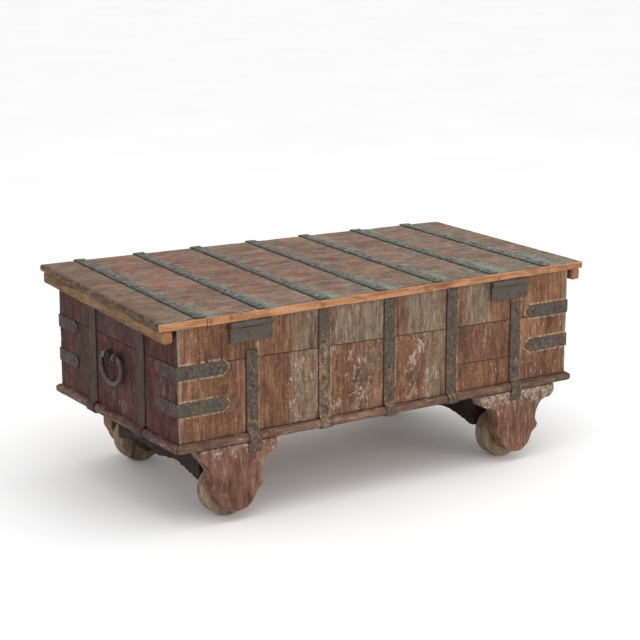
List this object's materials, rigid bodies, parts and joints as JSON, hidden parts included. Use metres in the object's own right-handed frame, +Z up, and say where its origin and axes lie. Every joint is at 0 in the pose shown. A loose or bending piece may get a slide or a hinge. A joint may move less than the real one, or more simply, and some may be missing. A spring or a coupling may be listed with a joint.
{
  "type": "wooden chest",
  "caption": "Low wooden storage trunk with a hinged plank lid, iron straps, bail handles on the ends and wooden wheels held by shaped foot boards.",
  "frame": {"origin": "centre of the bounding box's bottom face, on the floor under the middle of the chest", "axes": "+X along the chest's length, -Y the long side with the hinges, +Y the long side that opens, +Z up"},
  "size_m": [1.185, 0.6162, 0.5075],
  "materials": {
    "lid_wood": "worn reddish-brown paint with grey-green remains",
    "lipping_wood": "raw orange-brown wood",
    "batten_wood": "raw tan wood",
    "side_wood": "worn brown and grey-beige paint",
    "end_wood": "dark maroon paint, scuffed",
    "moulding_wood": "worn mid brown",
    "inner_wood": "bare, dusty",
    "foot_wood": "worn brown with pale paint remains",
    "beam_wood": "very dark, dusty",
    "wheel_wood": "greyish tan, worn",
    "strap_iron": "dark rusty iron with paint remains",
    "lid_strap_iron": "dark iron with grey-green paint remains",
    "hinge_iron": "dark iron",
    "handle_iron": "dark iron, rubbed",
    "nail_iron": "dark rusty iron"
  },
  "bodies": {
    "chest": {"axle_pins": "handle_iron", "base_moulding_hinge_side": "moulding_wood", "base_moulding_left_end": "moulding_wood", "base_moulding_open_side": "moulding_wood", "base_moulding_right_end": "moulding_wood", "body_nails": "nail_iron", "corner_posts": "inner_wood", "floor_board_1": "inner_wood", "floor_board_2": "inner_wood", "floor_board_3": "inner_wood", "floor_board_4": "inner_wood", "foot_cheek_left_hinge_side": "foot_wood", "foot_cheek_left_open_side": "foot_wood", "foot_cheek_right_hinge_side": "foot_wood", "foot_cheek_right_open_side": "foot_wood", "hinge_side_lower_plank": "side_wood", "hinge_side_strap_1": "strap_iron", "hinge_side_strap_2": "strap_iron", "hinge_side_strap_3": "strap_iron", "hinge_side_strap_4": "strap_iron", "hinge_side_strap_5": "strap_iron", "hinge_side_upper_plank": "side_wood", "left_axle_beam": "beam_wood", "left_end_handle_staples": "handle_iron", "left_end_lower_plank": "end_wood", "left_end_straps": "strap_iron", "left_end_upper_plank": "end_wood", "left_hinge_body_leaf": "hinge_iron", "left_hinge_pin": "hinge_iron", "lower_corner_straps": "strap_iron", "open_side_lower_plank": "side_wood", "open_side_straps": "strap_iron", "open_side_upper_plank": "side_wood", "right_axle_beam": "beam_wood", "right_end_handle_staples": "handle_iron", "right_end_lower_plank": "end_wood", "right_end_straps": "strap_iron", "right_end_upper_plank": "end_wood", "right_hinge_body_leaf": "hinge_iron", "right_hinge_pin": "hinge_iron", "upper_corner_straps": "strap_iron"},
    "lid": {"left_hinge_lid_leaf": "hinge_iron", "left_lid_batten": "batten_wood", "lid_board_1": "lid_wood", "lid_board_2": "lid_wood", "lid_board_3": "lid_wood", "lid_board_4": "lid_wood", "lid_board_5": "lid_wood", "lid_lipping": "lipping_wood", "lid_nails": "nail_iron", "lid_straps": "lid_strap_iron", "right_hinge_lid_leaf": "hinge_iron", "right_lid_batten": "batten_wood"},
    "left_handle": {"left_end_handle": "handle_iron"},
    "right_handle": {"right_end_handle": "handle_iron"},
    "wheel_left_hinge_side": {"wheel_left_hinge_side": "wheel_wood"},
    "wheel_left_open_side": {"wheel_left_open_side": "wheel_wood"},
    "wheel_right_hinge_side": {"wheel_right_hinge_side": "wheel_wood"},
    "wheel_right_open_side": {"wheel_right_open_side": "wheel_wood"}
  },
  "joints": [
    {"name": "lid_hinge", "type": "hinge", "parent": "chest", "child": "lid", "pos_m": [0, -0.301, 0.458], "axis": [1, 0, 0], "range_deg": [0, 100]},
    {"name": "left_handle_swing", "type": "hinge", "parent": "chest", "child": "left_handle", "pos_m": [-0.561, 0, 0.344], "axis": [0, 1, 0], "range_deg": [-3, 183]},
    {"name": "right_handle_swing", "type": "hinge", "parent": "chest", "child": "right_handle", "pos_m": [0.561, 0, 0.344], "axis": [0, -1, 0], "range_deg": [-3, 183]},
    {"name": "wheel_left_hinge_side_roll", "type": "hinge", "parent": "chest", "child": "wheel_left_hinge_side", "pos_m": [-0.398, -0.228, 0.061], "axis": [0, 1, 0], "continuous": true},
    {"name": "wheel_left_open_side_roll", "type": "hinge", "parent": "chest", "child": "wheel_left_open_side", "pos_m": [-0.377, 0.228, 0.061], "axis": [0, 1, 0], "continuous": true},
    {"name": "wheel_right_hinge_side_roll", "type": "hinge", "parent": "chest", "child": "wheel_right_hinge_side", "pos_m": [0.398, -0.228, 0.061], "axis": [0, 1, 0], "continuous": true},
    {"name": "wheel_right_open_side_roll", "type": "hinge", "parent": "chest", "child": "wheel_right_open_side", "pos_m": [0.377, 0.228, 0.061], "axis": [0, 1, 0], "continuous": true}
  ]
}
